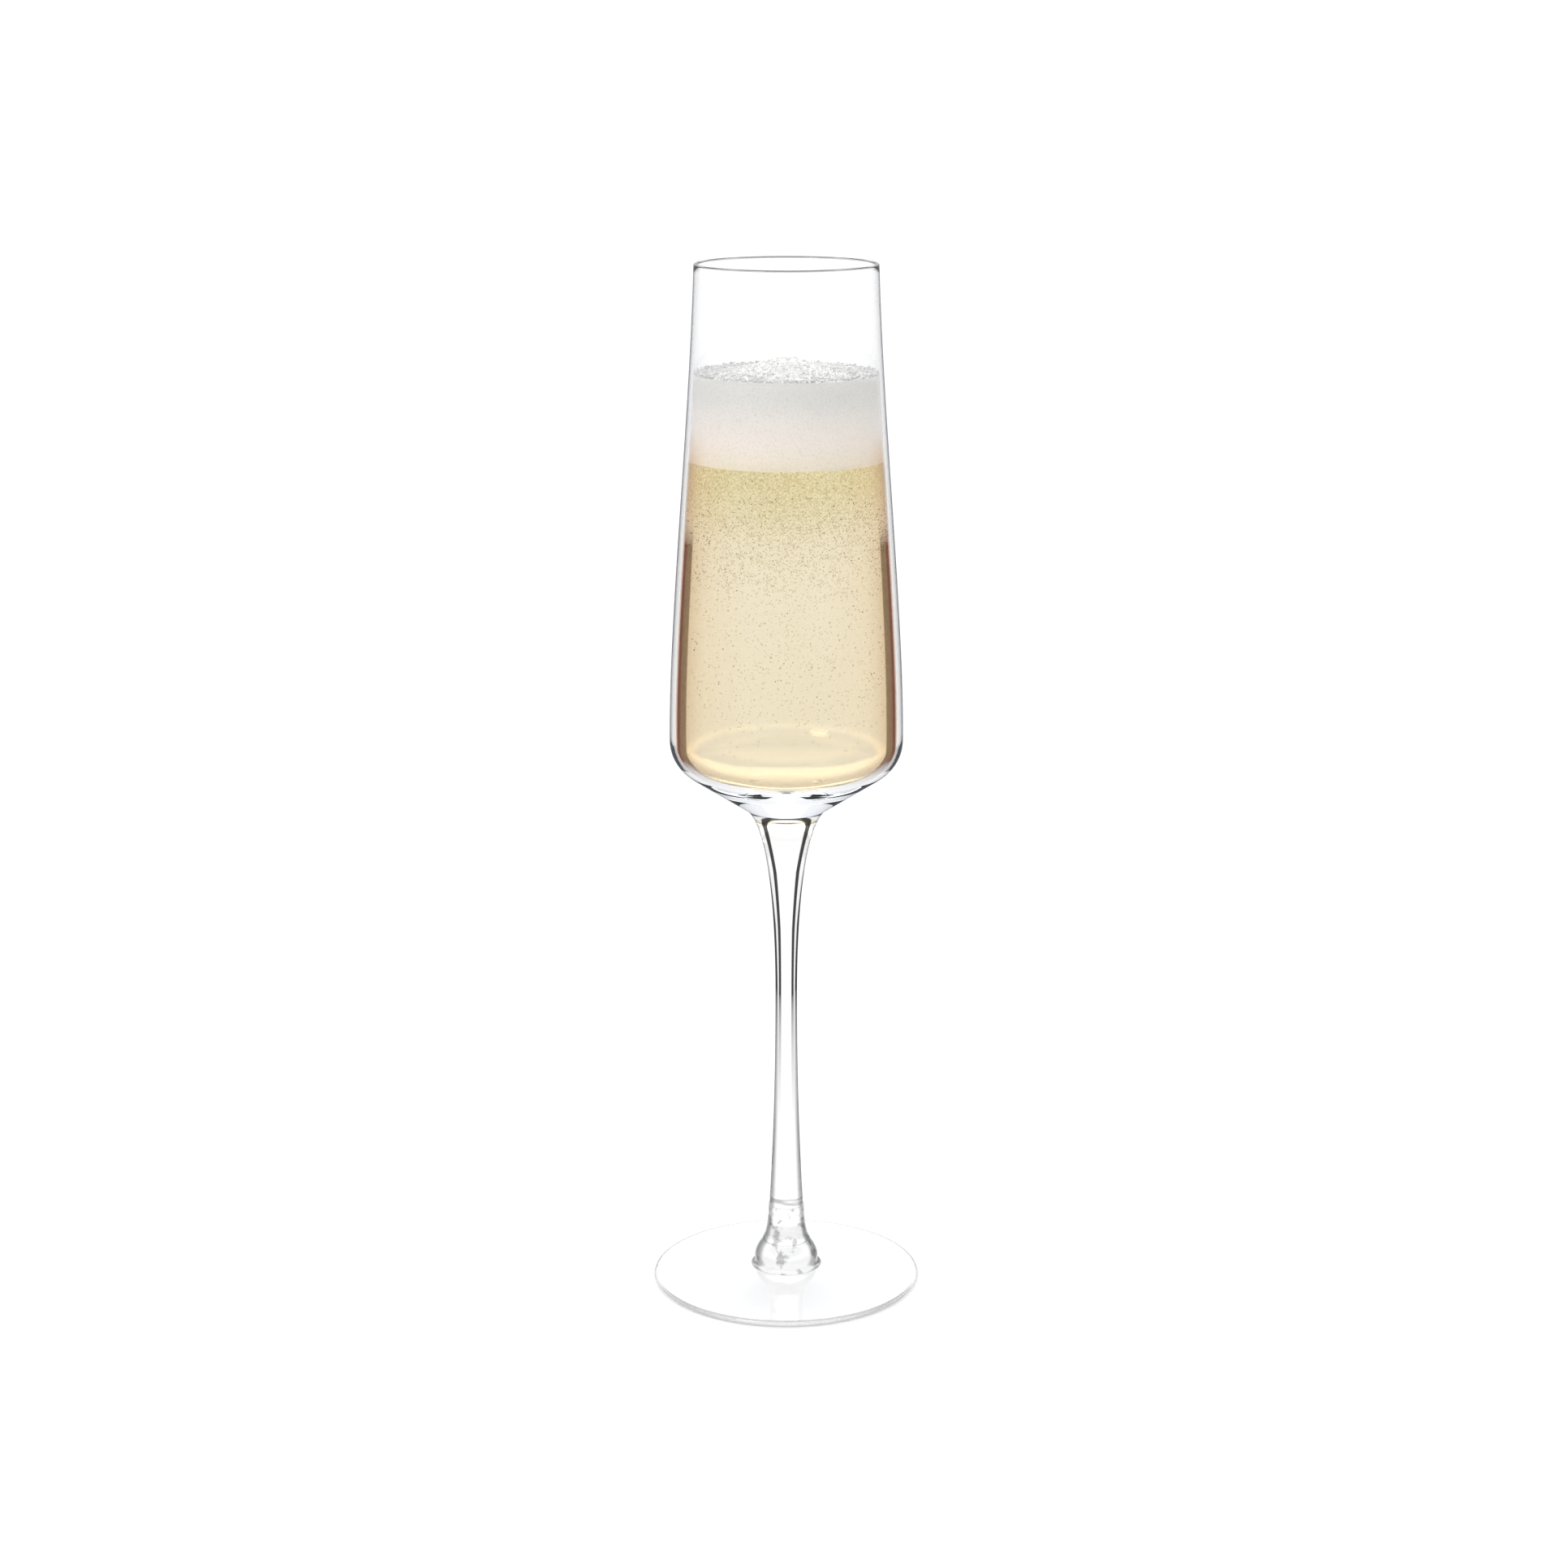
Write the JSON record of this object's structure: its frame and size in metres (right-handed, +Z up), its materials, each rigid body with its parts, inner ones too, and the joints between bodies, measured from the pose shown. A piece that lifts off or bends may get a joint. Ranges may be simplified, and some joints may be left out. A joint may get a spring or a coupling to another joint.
{
  "type": "champagne flute",
  "caption": "Clear glass champagne flute with a tall bowl that narrows to the rim, a slim drawn stem and a round foot, filled with sparkling wine under a mousse.",
  "frame": {"origin": "centre of the foot on the surface it stands on", "axes": "+Z up along the glass's axis of revolution, from the foot to the rim; X and Y are alike"},
  "size_m": [0.071, 0.071, 0.27],
  "materials": {
    "clear_glass": "clear colourless soda-lime crystal, smooth and fire-polished",
    "sparkling_wine": "clear pale gold sparkling wine with fine rising bubbles",
    "mousse": "fine translucent foam, grey-white at the top and pale peach at the bottom",
    "froth": "coarse wet bubbles, off-white"
  },
  "bodies": {
    "root": {"bowl": "clear_glass", "stem": "clear_glass", "foot": "clear_glass", "champagne": "sparkling_wine", "foam_head": "mousse", "froth_cap": "froth"}
  },
  "joints": []
}
